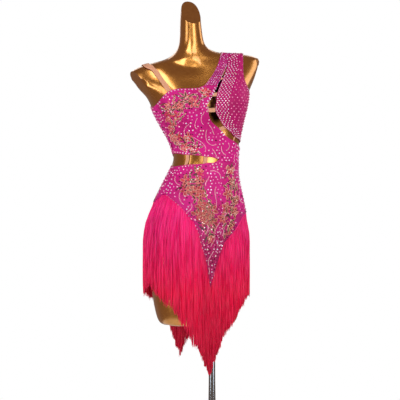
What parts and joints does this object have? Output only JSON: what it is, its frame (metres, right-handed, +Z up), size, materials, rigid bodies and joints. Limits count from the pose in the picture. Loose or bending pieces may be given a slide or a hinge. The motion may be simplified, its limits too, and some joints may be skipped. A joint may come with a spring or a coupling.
{
  "type": "latin dance dress on a dress form",
  "caption": "Asymmetric stretch dance dress with cut-outs, one thin strap and a fringed V hem, worn on a limbless gold dress form on a pole and round base.",
  "frame": {"origin": "centre of the round base's underside, on the floor", "axes": "+Z up along the pole; the dress faces -Y; +X is the wearer's left side"},
  "size_m": [0.4088, 0.31, 1.5498],
  "materials": {
    "magenta_cloth": "stretch knit with a soft sheen, crystals and embroidered sprays",
    "nude_elastic": "matt stretch",
    "fringe": "shiny twisted yarn",
    "gold_form": "glossy metallic gold lacquer over moulded plastic",
    "chrome": "polished"
  },
  "bodies": {
    "root": {"dress_form": "gold_form", "stand_pole": "chrome", "base_plate": "chrome", "bodice_front": "magenta_cloth", "neck_band": "magenta_cloth", "shoulder_front": "magenta_cloth", "bodice_back": "magenta_cloth", "hip_front": "magenta_cloth", "hip_back": "magenta_cloth", "shoulder_strap": "nude_elastic", "cut_bridge_1": "nude_elastic", "cut_bridge_2": "nude_elastic", "cut_bridge_3": "nude_elastic", "cut_bridge_4": "nude_elastic", "cut_bridge_5": "nude_elastic", "waist_bridge_1": "nude_elastic", "waist_bridge_2": "nude_elastic", "fringe_front_right": "fringe", "fringe_front_left": "fringe", "fringe_back_left": "fringe", "fringe_back_right": "fringe"}
  },
  "joints": []
}
